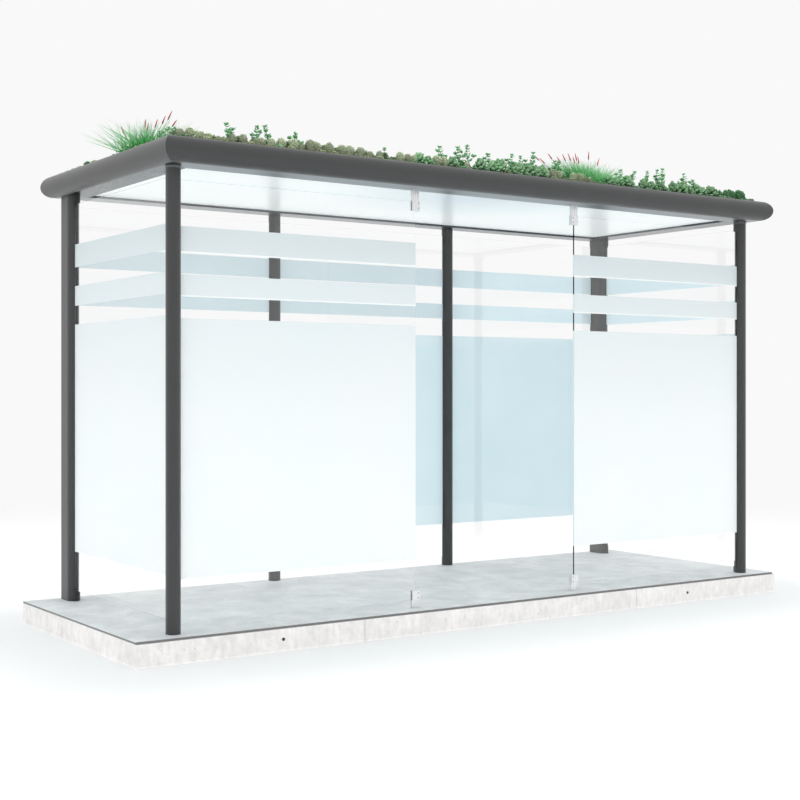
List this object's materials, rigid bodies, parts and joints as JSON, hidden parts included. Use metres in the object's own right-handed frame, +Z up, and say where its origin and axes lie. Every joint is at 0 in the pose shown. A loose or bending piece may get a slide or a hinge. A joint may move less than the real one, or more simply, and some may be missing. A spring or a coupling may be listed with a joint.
{
  "type": "bus shelter with a planted roof",
  "caption": "Open-fronted bus shelter: frosted glass panes between slim round posts, a flat roof with a rounded dark edge and low planting, on a concrete base with light paving.",
  "frame": {"origin": "on the ground under the base, midway between the corner posts and midway between the front posts and the back wall", "axes": "+X along the length to the right seen from the front, +Y to the back wall, +Z up"},
  "size_m": [4.383, 1.653, 2.68],
  "materials": {
    "concrete": "smooth cast concrete, light and mottled",
    "paving": "honed pale grey paving",
    "anthracite_paint": "satin powder coat, anthracite",
    "clear_glass": "clear toughened glass",
    "frosted_film": "frosted film, translucent white",
    "dark_clamp": "satin dark grey",
    "clip_steel": "brushed stainless steel",
    "edge_beam_grey": "brushed light grey metal",
    "ceiling_white": "glossy pale ceiling panel",
    "tray_metal": "mill finish sheet",
    "growing_medium": "loose mineral growing medium",
    "planting": "low succulent planting",
    "grass": "thin grass blades with red-brown spikes"
  },
  "bodies": {
    "root": {"base_slab_left": "concrete", "base_slab_middle": "concrete", "base_slab_right": "concrete", "deck_paving": "paving", "front_left_post": "anthracite_paint", "front_right_post": "anthracite_paint", "rear_left_post": "anthracite_paint", "rear_right_post": "anthracite_paint", "rear_mid_left_post": "anthracite_paint", "rear_mid_right_post": "anthracite_paint", "front_left_glass": "clear_glass", "front_right_glass": "clear_glass", "left_side_glass": "clear_glass", "right_side_glass": "clear_glass", "back_left_glass": "clear_glass", "back_middle_glass": "clear_glass", "back_right_glass": "clear_glass", "front_left_film": "frosted_film", "front_right_film": "frosted_film", "left_side_film": "frosted_film", "right_side_film": "frosted_film", "back_left_film": "frosted_film", "back_middle_film": "frosted_film", "back_right_film": "frosted_film", "side_glass_clamps": "dark_clamp", "front_left_foot_clip": "clip_steel", "front_left_top_clip": "clip_steel", "front_right_foot_clip": "clip_steel", "front_right_top_clip": "clip_steel", "front_edge_beam": "edge_beam_grey", "rear_edge_beam": "edge_beam_grey", "left_edge_beam": "edge_beam_grey", "right_edge_beam": "edge_beam_grey", "front_fascia": "anthracite_paint", "rear_fascia": "anthracite_paint", "left_fascia": "anthracite_paint", "right_fascia": "anthracite_paint", "soffit_panel": "ceiling_white", "roof_tray": "tray_metal", "growing_medium": "growing_medium", "sedum_mat": "planting", "grass_tufts": "grass"}
  },
  "joints": []
}
